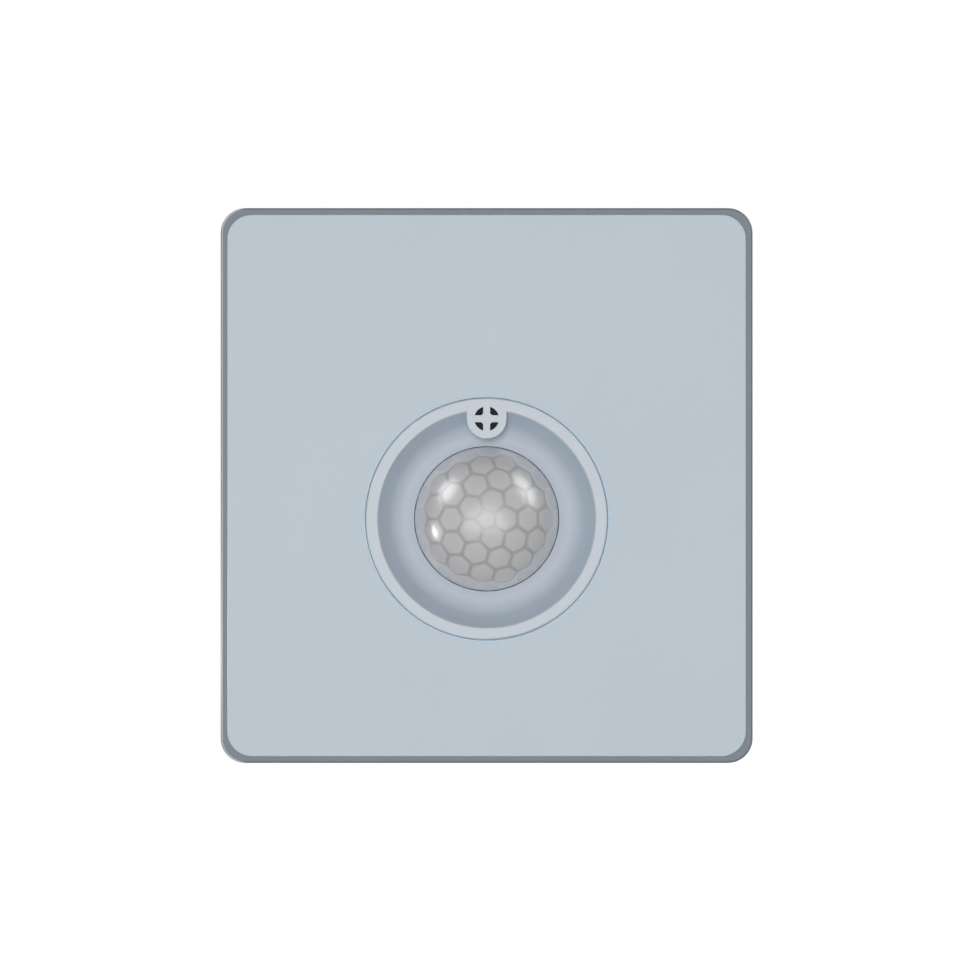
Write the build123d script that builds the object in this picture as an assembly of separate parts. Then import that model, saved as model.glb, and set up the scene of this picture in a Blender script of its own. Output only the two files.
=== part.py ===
from build123d import *
import math
import os

# Motion sensor light switch: a wall plate with a lens dome, and the switch module behind it.
# Sizes are in millimetres. X is to the right and Z is up, seen from the front, which faces -Y.
# The wall is the plane Y = 0. A depth is counted from it: positive in front, negative inside.

# Plate
plate_width = 86.0
plate_height = 89.7
plate_corner = 4.0
frame_rear = 0.3
frame_front = 8.2
frame_wall = 1.8
frame_band = 1.07
frame_edge = 0.35
ledge_width = 3.2
ledge_thickness = 1.2
pry_notch_width = 9.0
pry_notch_depth = 1.6
panel_front = 8.6
panel_thickness = 2.0
panel_lip = 0.25
panel_gap = 0.1
panel_edge = 0.15
panel_hole_edge = 0.3
collar_wall = 1.2
collar_depth = 2.0

# Cover pegs and their sockets
peg_radius = 2.0
peg_reach = 4.8
peg_split = 0.8
peg_clearance = 0.05
peg_inset_x = 7.0
peg_inset_z = 7.85
socket_wall = 1.5
socket_height = 2.0

# Sensor bezel
sensor_drop = 5.4
bezel_front = 9.0
bezel_gap = 0.05
bezel_edge = 0.3
rim_edge = 0.1
rim_width = 1.83
dish_floor = 4.7
dish_floor_width = 1.15
dish_bend = 3.42
dish_slope = 55.0
bezel_wall = 1.5
lens_gap = 0.16
tab_radius = 3.23
tab_inset = 0.11
tab_edge = 0.1
tab_roof = 1.0
tab_merge = 0.5
slot_outer_radius = 2.0
slot_inner_radius = 1.02
slot_bar = 1.12

# Lens dome
lens_radius = 12.92
lens_cap_angle = 63.87
lens_edge_lift = 0.27
lens_wall = 0.7
lens_flange_width = 1.6
lens_flange_thickness = 1.0
lens_flange_play = 0.1
cell_frequency = 4
groove_depth = 0.16
pad_root = 0.2
cell_width_share = 0.9
pad_reach_share = 1.1
pad_margin = 0.12
cell_limit = 62.0

# Carrier plate
carrier_gap = 1.2
carrier_corner = 3.0
carrier_rear = 1.2
carrier_front = 3.2
carrier_rim_wall = 1.2
carrier_rim_height = 1.4
lens_seat_play = 0.2
lens_bore_margin = 0.3
screw_bay_inner = 26.3
screw_bay_height = 14.0
screw_bay_corner = 2.5

# Bracket
bracket_inset_x = 2.0
bracket_inset_z = 3.85
bracket_corner = 3.0
bracket_thickness = 1.2
box_screw_spacing = 60.3
box_slot_radius = 2.1
box_slot_length = 7.0
window_clearance = 0.4
bracket_screw_inset = 4.5
bracket_screw_place_z = 20.0
bracket_screw_tip_gap = 0.1

# Rear housing
housing_width = 50.0
housing_height = 56.0
housing_depth = 27.0
housing_corner = 3.0
housing_wall = 1.8
boss_radius = 3.2
boss_inset = 3.5
boss_depth = 14.0
post_radius = 2.5

# Screws: shank radius, head radius and head height of each kind
screw_radius = 1.1
screw_head_radius = 2.0
screw_head_height = 1.2
screw_slot_width = 0.6
screw_slot_depth = 0.5
screw_length = 5.0
housing_screw_radius = 1.3
housing_screw_head_radius = 2.5
housing_screw_head_height = 1.4
housing_screw_length = 11.0
thread_clearance = 0.03
hole_clearance = 0.15

# Boards
board_thickness = 1.2
power_board_thickness = 1.6
board_side_gap = 0.4
board_boss_gap = 0.6
sensor_board_front = -5.0
power_board_front = -20.0
sensor_post_shares = [(-0.4276, 0.213), (0.4276, 0.213), (-0.4276, -0.3295), (0.4276, -0.3295)]
power_post_shares = [(0.445, -0.25), (-0.4057, 0.3585), (0.2632, 0.3973)]
pin_radius = 0.3
pin_length = 1.0

# Infrared detector
detector_radius = 4.1
detector_flange_radius = 4.6
detector_flange_height = 0.5
detector_height = 4.3
detector_wall = 0.3
detector_window_width = 4.0
detector_window_height = 3.0
detector_edge = 0.4
detector_lead_ring = 2.54

# Lamp and daylight cell on the sensor board, placed from the bezel's centre
lamp_radius = 1.5
lamp_flange_radius = 1.9
lamp_flange_height = 1.0
lamp_height = 4.4
lamp_place = (6.6, -4.2)
daylight_radius = 2.5
daylight_height = 2.1
daylight_place = (-6.8, -3.6)

# Microphone behind the slotted tab
microphone_radius = 2.0
microphone_length = 1.6
microphone_gap = 0.2
boot_radius = 2.45
boot_base = 2.0
mesh_thickness = 0.2
microphone_lead_radius = 0.2
microphone_lead_spacing = 1.9
lead_hole_radius = 0.35

# Trimmers
trimmer_side = 7.0
trimmer_height = 4.0
trimmer_place_x = 13.0
trimmer_place_z = 22.0
knob_shaft_radius = 1.0
knob_shaft_length = 2.9
knob_clearance = 0.05
knob_radius = 2.9
knob_front = 3.9
knob_lift = 0.4
knob_slot_width = 0.9
knob_slot_depth = 1.0
knob_edge = 0.3
knob_hole_gap = 0.25

# Terminals
terminal_pitch = 11.0
terminal_block_width = 35.0
terminal_block_height = 10.0
terminal_block_front = -10.2
terminal_pocket_width = 7.0
terminal_pocket_height = 6.6
terminal_pocket_front = -11.2
cage_width = 6.4
cage_height = 6.0
cage_wall = 0.8
cage_front = -11.6
cage_plate = 1.2
cage_rear = -20.5
cage_nut = 1.5
bar_width = 4.0
bar_thickness = 1.0
bar_front = -16.4
bar_tail_width = 2.0
bar_end_inset = 0.8
bar_play = 0.1
terminal_screw_radius = 1.5
terminal_screw_clearance = 0.05
terminal_head_radius = 2.5
terminal_head_height = 1.55
terminal_head_rear = -25.15
terminal_slot_width = 0.8
terminal_slot_depth = 0.9
wire_entry_radius = 1.7
wire_entry_flare = 0.6
driver_hole_radius = 2.2

# Relay, standing on the power board: lengths along X from its middle, heights above the board
relay_place = (-10.5, -7.4)
relay_length = 18.5
relay_width = 10.0
relay_height = 12.0
relay_wall = 0.5
relay_play = 0.1
relay_base_lift = 0.3
relay_base_thickness = 1.6
relay_pin_radius = 0.35
relay_pin_shares = [(0.346, -0.34), (0.346, 0.34), (0.4325, 0.0)]
yoke_thickness = 1.0
yoke_width = 6.0
yoke_outer = 8.3
yoke_inner_end = -1.0
pole_height = 8.6
core_place = 2.5
core_radius = 1.4
pole_radius = 2.2
pole_thickness = 0.6
bobbin_radius = 3.6
bobbin_flange = 0.6
bobbin_tube_radius = 1.9
bobbin_play = 0.05
winding_radius = 3.4
armature_thickness = 0.8
armature_inner_end = -0.4
armature_open_angle = 3.5
bead_radius = 0.3
bead_inset = 0.5
bead_play = 0.03
spring_thickness = 0.2
spring_width = 4.0
spring_start = 5.0
contact_place = -7.2
contact_radius = 0.8
contact_thickness = 0.6
contact_gap_closed = 0.06
fixed_blade_place = -8.1
fixed_blade_thickness = 0.4
fixed_blade_width = 3.0

# Other parts on the power board
film_capacitor_place = (10.5, -7.5)
film_capacitor_size = (13.0, 6.0, 11.0)
film_capacitor_edge = 0.5
smoothing_capacitor_place = (12.0, 3.0)
smoothing_capacitor_radius = 4.0
smoothing_capacitor_height = 11.5
filter_capacitor_place = (4.4, 1.6)
filter_capacitor_radius = 2.5
filter_capacitor_height = 10.5
can_bead_depth = 0.3
can_bead_height = 1.8
varistor_place = (-14.0, 2.6)
varistor_radius = 4.0
varistor_thickness = 3.2
varistor_lift = 1.5
fuse_place = (-3.6, 7.6)
fuse_radius = 1.6
fuse_length = 8.0
fuse_cap_length = 1.6
fuse_cap_radius = 1.8
fuse_lift = 2.2
coil_place = (-13.6, 11.5)
coil_radius = 4.0
coil_height = 8.0
coil_flange = 1.0
coil_winding_radius = 3.5
link_inset = 2.5
link_place_z = -4.0
link_pitch = 2.54
link_count = 5
link_pin_width = 0.64
link_body_width = 2.5
link_body_height = 2.6
chip_size = (9.9, 3.9, 1.5)
chip_place = (0.0, 7.6)
rectifier_size = (4.7, 3.9, 2.5)
rectifier_place = (-3.0, 14.0)
supply_chip_size = (5.0, 4.0, 1.6)
supply_chip_place = (4.8, 13.0)
small_part_size = (2.0, 1.25, 0.6)
sensor_small_shares = [(-0.197, 0.058), (-0.197, 0.116), (-0.197, 0.174),
                       (0.197, 0.058), (0.197, 0.116), (0.197, 0.174)]
power_small_shares = [(0.11, 0.339), (0.011, 0.3585), (-0.088, 0.3585),
                      (-0.186, 0.3585), (0.219, 0.242), (0.318, 0.242)]

# How far a cut runs past the surface it opens
overrun = 1.0

# Places worked out from the sizes above
sensor_z = -sensor_drop
lens_tilt = math.radians(lens_cap_angle)
lens_skirt_radius = lens_radius * math.sin(lens_tilt)
lens_flange_radius = lens_skirt_radius + lens_flange_width
lens_centre_depth = dish_floor + lens_edge_lift - lens_radius * math.cos(lens_tilt)
slope = math.radians(dish_slope)
bend_run = dish_bend * math.sin(slope)
bend_rise = dish_bend * (1 - math.cos(slope))
cone_run = (bezel_front - dish_floor - bend_rise) / math.tan(slope)
dish_edge = lens_skirt_radius + lens_gap + dish_floor_width
rim_inner = dish_edge + bend_run + cone_run
bezel_radius = rim_inner + rim_width
tab_centre_height = bezel_radius - tab_radius - tab_inset
tab_z = sensor_z + tab_centre_height
panel_width = plate_width - 2 * frame_band
panel_height = plate_height - 2 * frame_band
panel_rear = panel_front - panel_thickness
panel_body_width = panel_width - 2 * panel_lip
panel_body_height = panel_height - 2 * panel_lip
carrier_width = plate_width - 2 * (frame_wall + carrier_gap)
carrier_height = plate_height - 2 * (frame_wall + carrier_gap)
carrier_thickness = carrier_front - carrier_rear
peg_place_x = carrier_width / 2 - peg_inset_x
peg_place_z = carrier_height / 2 - peg_inset_z
bracket_width = carrier_width - 2 * bracket_inset_x
bracket_height = carrier_height - 2 * bracket_inset_z
bracket_screw_place_x = bracket_width / 2 - bracket_screw_inset
boss_place_x = housing_width / 2 - boss_inset
boss_place_z = housing_height / 2 - boss_inset
housing_rear = -housing_depth
housing_floor = housing_rear + housing_wall
board_width = housing_width - 2 * (housing_wall + board_side_gap)
board_height = housing_height - 2 * (housing_wall + board_side_gap)
sensor_board_rear = sensor_board_front - board_thickness
power_board_rear = power_board_front - power_board_thickness
terminal_z = terminal_block_height / 2 + housing_wall - housing_height / 2
power_board_bottom = terminal_z + terminal_block_height / 2 + board_side_gap
terminal_places = {"line": -terminal_pitch, "neutral": 0.0, "load": terminal_pitch}
wire_depth = (cage_front - cage_plate + bar_front) / 2
bar_rear = bar_front - bar_thickness
link_x = board_width / 2 - link_inset
hinge_along = yoke_outer - bead_inset


def slab(outline, rear, front):
    """An outline in X and Z, filled from one depth to another."""
    return extrude(Plane.XZ.offset(rear) * outline, amount=front - rear)


def rod(radius, rear, front, x=0, z=0):
    """A round bar square to the wall."""
    return slab(Pos(x, z) * Circle(radius), rear, front)


def block(width, height, rear, front, x=0, z=0):
    """A square-cornered bar square to the wall."""
    return slab(Pos(x, z) * Rectangle(width, height), rear, front)


def ring(outer, inner, rear, front, x=0, z=0):
    """A tube square to the wall."""
    return rod(outer, rear, front, x, z) - rod(inner, rear, front, x, z)


def turned(profile, x=0, z=0):
    """A profile of radius against depth, turned about the axis through x and z."""
    plane = Plane(origin=(x, 0, z), x_dir=(1, 0, 0), z_dir=(0, 0, -1))
    return revolve(plane * profile, Axis((x, 0, z), (0, 1, 0)))


def outline_through(*points):
    """A face with straight sides through these points."""
    return make_face(Polyline(*points, close=True))


def in_four_corners(x, z):
    """The four places that mirror one place across both centre lines."""
    return [(side * x, level * z) for side in (-1, 1) for level in (-1, 1)]


def on_board(shares):
    """Places on a board, from shares of its full width and height."""
    return [(share_x * board_width, share_z * board_height) for share_x, share_z in shares]


sensor_post_places = on_board(sensor_post_shares)
power_post_places = on_board(power_post_shares)


def screw(x, z, head_rear, head_side, shank_radius, head_radius, head_height, length):
    """A slotted screw: its head rises from head_rear to the side given, its shank goes the other way."""
    head_top = head_rear + head_side * head_height
    tip = head_rear - head_side * length
    head = rod(head_radius, min(head_rear, head_top), max(head_rear, head_top), x, z)
    shank = rod(shank_radius, min(head_rear, tip), max(head_rear, tip), x, z)
    slot_floor = head_top - head_side * screw_slot_depth
    slot_end = head_top + head_side * overrun
    slot = block(2 * head_radius + overrun, screw_slot_width,
                 min(slot_floor, slot_end), max(slot_floor, slot_end), x, z)
    return head + shank - slot


def front_screw(x, z, head_rear, shank_radius, head_radius, head_height, length):
    """A screw driven from the front."""
    return screw(x, z, head_rear, 1, shank_radius, head_radius, head_height, length)


def rear_screw(x, z, head_front, shank_radius, head_radius, head_height, length):
    """A screw driven from inside the wall box."""
    return screw(x, z, head_front, -1, shank_radius, head_radius, head_height, length)


# Trim frame: a thin wall round the plate, with a flat front and a ledge that the panel sits on
def make_trim_frame():
    outer = RectangleRounded(plate_width, plate_height, plate_corner)
    body = slab(outer, frame_rear, frame_front)
    body = fillet(body.faces().sort_by(Axis.Y)[0].edges(), frame_edge)
    seat = RectangleRounded(panel_body_width + 2 * panel_gap, panel_body_height + 2 * panel_gap,
                            plate_corner)
    body -= slab(seat, panel_rear, frame_front + overrun)
    inner_width = plate_width - 2 * frame_wall
    inner_height = plate_height - 2 * frame_wall
    inner = RectangleRounded(inner_width, inner_height, plate_corner - frame_wall)
    body -= slab(inner, frame_rear - overrun, panel_rear - ledge_thickness)
    opening = RectangleRounded(plate_width - 2 * ledge_width, plate_height - 2 * ledge_width,
                               plate_corner - frame_wall)
    body -= slab(opening, frame_rear - overrun, frame_front)
    notch = block(pry_notch_width, 2 * frame_wall + overrun, frame_rear - overrun,
                  frame_rear + pry_notch_depth, z=-plate_height / 2)
    return body - notch


# Face panel: flat, with a lip that lies on the frame, a round hole and a collar for the bezel,
# and four split pegs behind
def make_face_panel():
    hole_radius = bezel_radius + bezel_gap
    plate = slab(RectangleRounded(panel_width, panel_height, plate_corner), frame_front, panel_front)
    plate += slab(RectangleRounded(panel_body_width, panel_body_height, plate_corner),
                  panel_rear, frame_front)
    plate = fillet(plate.faces().sort_by(Axis.Y)[0].edges(), panel_edge)
    plate -= rod(hole_radius, panel_rear - overrun, panel_front + overrun, z=sensor_z)
    plate = fillet(plate.faces().sort_by(Axis.Y)[0].inner_wires()[0].edges(), panel_hole_edge)
    plate += ring(hole_radius + collar_wall, hole_radius, panel_rear - collar_depth, panel_rear, z=sensor_z)
    for x, z in in_four_corners(peg_place_x, peg_place_z):
        plate += rod(peg_radius, panel_rear - peg_reach, panel_rear, x, z)
        plate -= block(peg_split, 2 * peg_radius + overrun, panel_rear - peg_reach - overrun,
                       panel_rear, x, z)
    return plate


# Sensor bezel: a raised rim, a dish that slopes down to a flat floor, and the slotted tab
def make_bezel():
    hole_radius = lens_skirt_radius + lens_gap
    cone_foot = (dish_edge + bend_run, dish_floor + bend_rise)
    bend_middle = (dish_edge + dish_bend * math.sin(slope / 2),
                   dish_floor + dish_bend * (1 - math.cos(slope / 2)))
    section = make_face([
        Polyline(cone_foot, (rim_inner, bezel_front), (bezel_radius, bezel_front),
                 (bezel_radius, carrier_front), (hole_radius, carrier_front),
                 (hole_radius, dish_floor), (dish_edge, dish_floor)),
        ThreePointArc((dish_edge, dish_floor), bend_middle, cone_foot),
    ])
    section = fillet(section.vertices().group_by(Axis.Y)[-1].sort_by(Axis.X)[-1], bezel_edge)
    section = fillet(section.vertices().group_by(Axis.Y)[-1].sort_by(Axis.X)[0], rim_edge)
    bezel = turned(section, z=sensor_z)

    pocket_drop = bezel_wall / math.cos(slope)
    pocket_outer = bezel_radius - bezel_wall
    pocket_foot = pocket_outer - (bezel_front - pocket_drop - carrier_front) / math.tan(slope)
    pocket = outline_through((pocket_foot, carrier_front), (pocket_outer, carrier_front),
                             (pocket_outer, bezel_front - pocket_drop))
    bezel -= turned(pocket, z=sensor_z)

    stem = Pos(0, tab_z) * Circle(tab_radius)
    stem += Pos(0, tab_z + tab_radius / 2) * Rectangle(2 * tab_radius, tab_radius)
    within = Pos(0, sensor_z) * Circle(rim_inner + tab_merge)
    tab = slab(stem & within, carrier_front, bezel_front)
    bezel += fillet(tab.faces().sort_by(Axis.Y)[0].edges(), tab_edge)
    bezel -= rod(boot_radius + panel_gap, carrier_front - overrun, bezel_front - tab_roof, z=tab_z)

    slots = Circle(slot_outer_radius) - Circle(slot_inner_radius)
    slots -= Rectangle(2 * slot_outer_radius + overrun, slot_bar)
    slots -= Rectangle(slot_bar, 2 * slot_outer_radius + overrun)
    bezel -= slab(Pos(0, tab_z) * slots, bezel_front - tab_roof - overrun, bezel_front + overrun)

    for x, z in bezel_screw_places():
        bezel += rod(screw_head_radius, carrier_front, dish_floor, x, z)
        bezel -= rod(screw_radius + thread_clearance, carrier_front - overrun, dish_floor, x, z)
    return bezel


def bezel_screw_places():
    """Four places beside the dish, clear of the tab at the top and of the housing's bosses."""
    radius = rim_inner - bezel_wall
    turns = [math.radians(angle) for angle in (20, 160, 200, 340)]
    return [(radius * math.cos(turn), sensor_z + radius * math.sin(turn)) for turn in turns]


# Lens dome. Its cells are the honeycomb that an icosahedron gives when each of its faces is split
# into small triangles: a cell round every corner of a triangle, pentagons at the twelve old corners.
# One pentagon faces the front. In the dome's own frame Z is to the front and Y is up.
def direction(tilt, turn):
    """The unit vector at a tilt from the front, at a turn round it."""
    return Vector(math.sin(tilt) * math.cos(turn), math.sin(tilt) * math.sin(turn), math.cos(tilt))


def icosahedron_faces():
    """The twenty faces, each as three corners."""
    tilt = math.atan(2)
    step = math.tau / 5
    front = direction(0, 0)
    rear = direction(math.pi, 0)
    upper = [direction(tilt, step * k) for k in range(5)]
    lower = [direction(math.pi - tilt, step * k + step / 2) for k in range(5)]
    faces = []
    for k in range(5):
        following = (k + 1) % 5
        faces.append((front, upper[k], upper[following]))
        faces.append((upper[k], lower[k], upper[following]))
        faces.append((upper[following], lower[k], lower[following]))
        faces.append((rear, lower[k], lower[following]))
    return faces


def honeycomb(frequency):
    """Each cell's middle, with the directions of its corners."""
    digits = 6
    cells = {}
    for a, b, c in icosahedron_faces():
        spots = {}
        for i in range(frequency + 1):
            for j in range(frequency + 1 - i):
                spots[i, j] = (a * i + b * j + c * (frequency - i - j)).normalized()
        for i, j in spots:
            for corners in (((i, j), (i + 1, j), (i, j + 1)), ((i, j), (i - 1, j), (i, j - 1))):
                if all(corner in spots for corner in corners):
                    middle = (spots[corners[0]] + spots[corners[1]] + spots[corners[2]]).normalized()
                    for corner in corners:
                        place = tuple(round(value, digits) for value in spots[corner])
                        cells.setdefault(place, []).append(middle)
    return cells


def cell_wedge(middle, corners):
    """A pyramid from the dome's centre out through one cell, drawn in to leave half a groove."""
    across = middle.cross(corners[0]).normalized()
    up = across.cross(middle)
    ordered = sorted(corners, key=lambda corner: math.atan2(corner.dot(across), corner.dot(up)))
    reach = lens_radius * pad_reach_share
    rim = []
    for corner in ordered:
        flat = corner * (1 / corner.dot(middle))
        rim.append((middle + (flat - middle) * cell_width_share) * reach)
    sides = [Face(Wire.make_polygon([Vector(0, 0, 0), rim[k - 1], rim[k]])) for k in range(len(rim))]
    return Solid(Shell([Face(Wire.make_polygon(rim))] + sides))


def ball(radius):
    """A sphere whose poles lie beside the dome, not on it."""
    return Rot(90, 0, 0) * Sphere(radius)


def make_lens():
    flange_front = carrier_front - lens_flange_play - lens_centre_depth
    flange_rear = flange_front - lens_flange_thickness
    body = Pos(0, 0, flange_rear) * extrude(Circle(lens_skirt_radius), lens_radius)
    body &= ball(lens_radius - groove_depth)
    body += Pos(0, 0, flange_rear) * extrude(Circle(lens_flange_radius), lens_flange_thickness)
    bore = Pos(0, 0, flange_rear - overrun) * extrude(Circle(lens_skirt_radius - lens_wall), lens_radius)
    body -= bore & ball(lens_radius - lens_wall)
    pad_layer = ball(lens_radius) - ball(lens_radius - groove_depth - pad_root)
    pad_layer &= extrude(Circle(lens_skirt_radius - pad_margin), lens_radius)
    pads = []
    for place, corners in honeycomb(cell_frequency).items():
        middle = Vector(*place)
        if math.degrees(math.acos(middle.Z)) < cell_limit:
            pads.append(pad_layer & cell_wedge(middle, corners))
    body = body.fuse(*pads)
    return Plane.XZ.offset(lens_centre_depth) * Pos(0, sensor_z) * body


# Carrier: the plate under the cover that everything is screwed to
def make_carrier():
    outline = RectangleRounded(carrier_width, carrier_height, carrier_corner)
    body = slab(outline, carrier_rear, carrier_front)
    rim = outline - RectangleRounded(carrier_width - 2 * carrier_rim_wall,
                                     carrier_height - 2 * carrier_rim_wall,
                                     carrier_corner - carrier_rim_wall)
    body += slab(rim, carrier_front, carrier_front + carrier_rim_height)
    for x, z in in_four_corners(peg_place_x, peg_place_z):
        body += rod(peg_radius + socket_wall, carrier_front, carrier_front + socket_height, x, z)
        body -= rod(peg_radius + peg_clearance, carrier_rear - overrun,
                    carrier_front + socket_height + overrun, x, z)
    for x, z in sensor_post_places:
        body += rod(post_radius, sensor_board_front, carrier_rear, x, z)
        body -= rod(screw_radius + thread_clearance, sensor_board_front - overrun, carrier_rear, x, z)

    bay_width = carrier_width / 2 - screw_bay_inner
    for side in (-1, 1):
        bay = Pos(side * (screw_bay_inner + bay_width), 0)
        bay *= RectangleRounded(2 * bay_width, screw_bay_height, screw_bay_corner)
        body -= slab(bay, carrier_rear - overrun, carrier_front + carrier_rim_height + overrun)
        body -= rod(knob_radius + knob_hole_gap, carrier_rear - overrun, carrier_front + overrun,
                    side * trimmer_place_x, trimmer_place_z)
    body -= rod(lens_skirt_radius + lens_bore_margin, carrier_rear - overrun,
                carrier_front + overrun, z=sensor_z)
    seat_rear = carrier_front - lens_flange_play - lens_flange_thickness
    body -= rod(lens_flange_radius + lens_seat_play, seat_rear, carrier_front + overrun, z=sensor_z)

    for x, z in in_four_corners(boss_place_x, boss_place_z):
        body -= rod(housing_screw_radius + hole_clearance, carrier_rear - overrun,
                    carrier_front + overrun, x, z)
    for x, z in in_four_corners(bracket_screw_place_x, bracket_screw_place_z) + bezel_screw_places():
        body -= rod(screw_radius + hole_clearance, carrier_rear - overrun,
                    carrier_front + overrun, x, z)
    for side in (-1, 1):
        body -= rod(lead_hole_radius, carrier_rear - overrun, carrier_front + overrun,
                    side * microphone_lead_spacing / 2, tab_z)
    return body


# Mounting bracket: sheet steel against the wall, with two slots for the box screws
def make_bracket():
    outline = RectangleRounded(bracket_width, bracket_height, bracket_corner)
    outline -= RectangleRounded(housing_width + 2 * window_clearance,
                                housing_height + 2 * window_clearance,
                                housing_corner + window_clearance)
    for side in (-1, 1):
        outline -= Pos(side * box_screw_spacing / 2, 0) * SlotOverall(box_slot_length, 2 * box_slot_radius)
    for x, z in in_four_corners(bracket_screw_place_x, bracket_screw_place_z):
        outline -= Pos(x, z) * Circle(screw_radius + thread_clearance)
    return slab(outline, 0, bracket_thickness)


# Rear housing: the box in the wall, with screw bosses, board posts, driver holes and wire entries
def make_rear_housing():
    outer = RectangleRounded(housing_width, housing_height, housing_corner)
    inner_width = housing_width - 2 * housing_wall
    inner_height = housing_height - 2 * housing_wall
    inner = RectangleRounded(inner_width, inner_height, housing_corner - housing_wall)
    body = slab(outer, housing_rear, carrier_rear)
    body = fillet(body.faces().sort_by(Axis.Y)[-1].edges(), housing_wall / 2)
    body -= slab(inner, housing_floor, carrier_rear + overrun)
    boss_rear = carrier_rear - boss_depth
    for x, z in in_four_corners(boss_place_x, boss_place_z):
        body += rod(boss_radius, boss_rear, carrier_rear, x, z) & slab(outer, boss_rear, carrier_rear)
        body -= rod(housing_screw_radius + thread_clearance, boss_rear + overrun,
                    carrier_rear + overrun, x, z)
    for x, z in power_post_places:
        body += rod(post_radius, housing_floor, power_board_rear, x, z)
        body -= rod(screw_radius + thread_clearance, housing_floor, power_board_front, x, z)
    for x in terminal_places.values():
        body -= rod(driver_hole_radius, housing_rear - overrun, housing_floor + overrun, x, terminal_z)
        entry = Pos(x, -wire_depth, -housing_height / 2) * Cylinder(wire_entry_radius, 2 * housing_wall + overrun)
        flare = Pos(x, -wire_depth, -housing_height / 2)
        flare *= Cone(wire_entry_radius + wire_entry_flare, wire_entry_radius, 2 * wire_entry_flare)
        body = body - entry - flare
    return body


# Boards: glass-fibre plates cut back round the bosses
def board(bottom, rear, front, post_places):
    top = board_height / 2
    body = block(board_width, top - bottom, rear, front, z=(top + bottom) / 2)
    for x, z in in_four_corners(boss_place_x, boss_place_z):
        body -= rod(boss_radius + board_boss_gap, rear - overrun, front + overrun, x, z)
    for x, z in post_places:
        body -= rod(screw_radius + hole_clearance, rear - overrun, front + overrun, x, z)
    return body


def lead(x, z, top, board_front, thickness, radius=pin_radius):
    """A component's lead, from its body through a board."""
    return rod(radius, board_front - thickness - pin_length, top, x, z)


def lead_hole(x, z, board_front, thickness, radius=pin_radius):
    """The hole that a lead passes through."""
    return rod(radius + thread_clearance, board_front - thickness - overrun, board_front + overrun, x, z)


def link_pin_places():
    """The row of pins that joins the two boards."""
    return [(link_x, link_place_z + (k - (link_count - 1) / 2) * link_pitch) for k in range(link_count)]


def trimmer_lead_places(x):
    """Three leads in a row under a trimmer."""
    return [(x + k * link_pitch, trimmer_place_z) for k in (-1, 0, 1)]


def detector_lead_places():
    """Three leads round the infrared detector's axis."""
    turns = [math.radians(angle) for angle in (45, 135, 270)]
    return [(detector_lead_ring * math.cos(turn), sensor_z + detector_lead_ring * math.sin(turn))
            for turn in turns]


def pair_of_leads(place, spacing):
    """Two leads side by side."""
    return [(place[0] - spacing / 2, place[1]), (place[0] + spacing / 2, place[1])]


lamp_centre = (lamp_place[0], sensor_z + lamp_place[1])
daylight_centre = (daylight_place[0], sensor_z + daylight_place[1])
lamp_leads = pair_of_leads(lamp_centre, lamp_radius)
daylight_leads = pair_of_leads(daylight_centre, daylight_radius)
microphone_leads = pair_of_leads((0, tab_z), microphone_lead_spacing)
film_leads = pair_of_leads(film_capacitor_place, film_capacitor_size[0] - film_capacitor_size[1] / 2)
smoothing_leads = pair_of_leads(smoothing_capacitor_place, smoothing_capacitor_radius)
filter_leads = pair_of_leads(filter_capacitor_place, filter_capacitor_radius)
varistor_leads = pair_of_leads(varistor_place, varistor_radius)
fuse_leads = pair_of_leads(fuse_place, fuse_length + fuse_cap_length)
coil_leads = pair_of_leads(coil_place, coil_radius)


def make_sensor_board():
    body = board(-board_height / 2, sensor_board_rear, sensor_board_front, sensor_post_places)
    leads = lamp_leads + daylight_leads + detector_lead_places()
    leads += trimmer_lead_places(-trimmer_place_x) + trimmer_lead_places(trimmer_place_x)
    for x, z in leads:
        body -= lead_hole(x, z, sensor_board_front, board_thickness)
    for x, z in microphone_leads:
        body -= lead_hole(x, z, sensor_board_front, board_thickness, microphone_lead_radius)
    for x, z in link_pin_places():
        body -= block(link_pin_width + 2 * thread_clearance, link_pin_width + 2 * thread_clearance,
                      sensor_board_rear - overrun, sensor_board_front + overrun, x, z)
    return body


def make_power_board():
    body = board(power_board_bottom, power_board_rear, power_board_front, power_post_places)
    for x, z in film_leads + smoothing_leads + filter_leads + varistor_leads + fuse_leads + coil_leads:
        body -= lead_hole(x, z, power_board_front, power_board_thickness)
    for x, z in link_pin_places():
        body -= block(link_pin_width + 2 * thread_clearance, link_pin_width + 2 * thread_clearance,
                      power_board_rear - overrun, power_board_front + overrun, x, z)
    for x, z in relay_pin_places:
        body -= lead_hole(relay_place[0] + x, relay_place[1] + z, power_board_front,
                          power_board_thickness, relay_pin_radius)
    body -= block(fixed_blade_thickness + 2 * bar_play, fixed_blade_width + 2 * bar_play,
                  power_board_rear - overrun, power_board_front + overrun,
                  relay_place[0] + fixed_blade_place, relay_place[1])
    for x in terminal_places.values():
        body -= block(bar_tail_width + 2 * bar_play, bar_thickness + 2 * bar_play,
                      power_board_rear - overrun, power_board_front + overrun, x, bar_tail_z)
    return body


# Parts of the sensor board
def make_detector():
    top = sensor_board_front + detector_height
    flange = rod(detector_flange_radius, sensor_board_front,
                 sensor_board_front + detector_flange_height, z=sensor_z)
    can = rod(detector_radius, sensor_board_front, top, z=sensor_z)
    can = fillet(can.faces().sort_by(Axis.Y)[0].edges(), detector_edge)
    hollow = rod(detector_radius - detector_wall, sensor_board_front + detector_flange_height,
                 top - detector_wall, z=sensor_z)
    window = block(detector_window_width, detector_window_height, top - detector_wall,
                   top + overrun, z=sensor_z)
    return can + flange - hollow - window


def make_detector_window():
    top = sensor_board_front + detector_height
    return block(detector_window_width, detector_window_height, top - detector_wall, top, z=sensor_z)


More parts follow.
